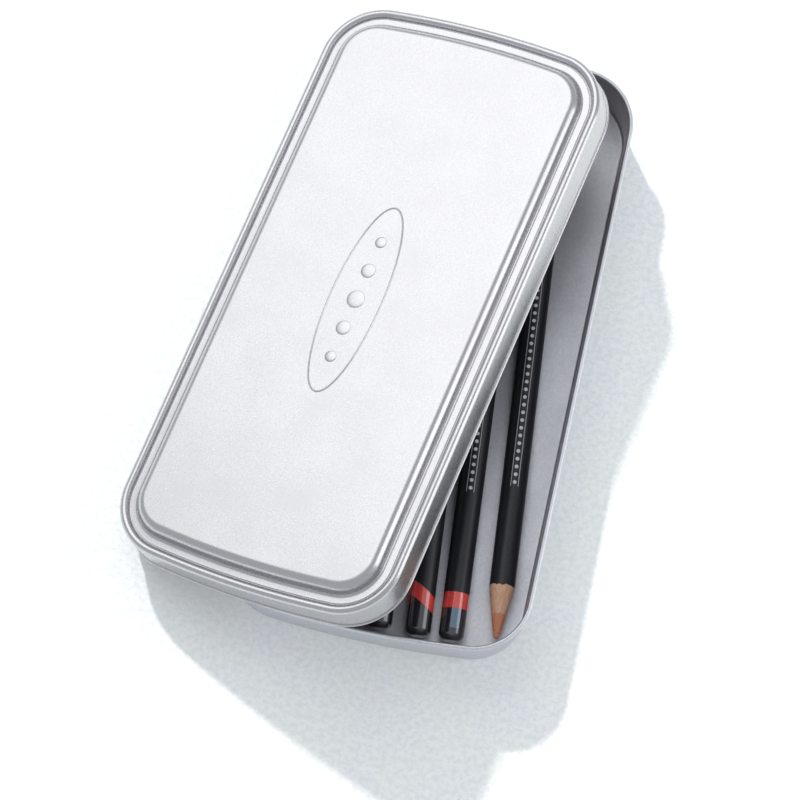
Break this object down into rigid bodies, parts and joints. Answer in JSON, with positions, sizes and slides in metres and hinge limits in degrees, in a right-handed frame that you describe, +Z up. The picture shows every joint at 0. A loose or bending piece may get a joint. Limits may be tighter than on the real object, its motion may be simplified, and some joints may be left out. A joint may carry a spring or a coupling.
{
  "type": "pencil tin",
  "caption": "Flat drawn-metal pencil tin whose lift-off lid lies askew on the tray over a row of round black pencils.",
  "frame": {"origin": "centre of the tray's underside", "axes": "+Z up, +Y along the tray to its far end, +X to the tray's right"},
  "size_m": [0.1246, 0.1929, 0.0426],
  "materials": {
    "tin_metal": "satin drawn sheet",
    "black_lacquer": "wood slats under matte black lacquer",
    "core_1": "pressed charcoal and pigment",
    "core_2": "pressed charcoal and pigment",
    "core_3": "pressed charcoal and pigment",
    "core_4": "pressed charcoal and pigment",
    "core_5": "pressed charcoal and pigment",
    "core_6": "pressed charcoal and pigment"
  },
  "bodies": {
    "tray": {"tray": "tin_metal"},
    "lid": {"lid": "tin_metal"},
    "pencil_1": {"pencil_1_left_slat": "black_lacquer", "pencil_1_right_slat": "black_lacquer", "pencil_1_core": "core_1"},
    "pencil_2": {"pencil_2_left_slat": "black_lacquer", "pencil_2_right_slat": "black_lacquer", "pencil_2_core": "core_2"},
    "pencil_3": {"pencil_3_left_slat": "black_lacquer", "pencil_3_right_slat": "black_lacquer", "pencil_3_core": "core_3"},
    "pencil_4": {"pencil_4_left_slat": "black_lacquer", "pencil_4_right_slat": "black_lacquer", "pencil_4_core": "core_4"},
    "pencil_5": {"pencil_5_left_slat": "black_lacquer", "pencil_5_right_slat": "black_lacquer", "pencil_5_core": "core_5"},
    "pencil_6": {"pencil_6_left_slat": "black_lacquer", "pencil_6_right_slat": "black_lacquer", "pencil_6_core": "core_6"}
  },
  "joints": [
    {"name": "lid_lift", "type": "slide", "parent": "tray", "child": "lid", "axis": [0, 0, 1], "range_m": [0, 0.12]},
    {"name": "pencil_1_roll", "type": "hinge", "parent": "tray", "child": "pencil_1", "pos_m": [0.03685, -0.08313, 0.00445], "axis": [-0.0889, 0.996, 0], "continuous": true},
    {"name": "pencil_2_roll", "type": "hinge", "parent": "tray", "child": "pencil_2", "pos_m": [0.02402, -0.08686, 0.00445], "axis": [-0.0802, 0.9968, 0], "continuous": true},
    {"name": "pencil_3_roll", "type": "hinge", "parent": "tray", "child": "pencil_3", "pos_m": [0.0142, -0.08742, 0.00445], "axis": [-0.0872, 0.9962, 0], "continuous": true},
    {"name": "pencil_4_roll", "type": "hinge", "parent": "tray", "child": "pencil_4", "pos_m": [0.00264, -0.08761, 0.00445], "axis": [-0.0872, 0.9962, 0], "continuous": true},
    {"name": "pencil_5_roll", "type": "hinge", "parent": "tray", "child": "pencil_5", "pos_m": [-0.00855, -0.08723, 0.00445], "axis": [-0.0819, 0.9966, 0], "continuous": true},
    {"name": "pencil_6_roll", "type": "hinge", "parent": "tray", "child": "pencil_6", "pos_m": [-0.0212, -0.08742, 0.00445], "axis": [-0.0628, 0.998, 0], "continuous": true}
  ]
}
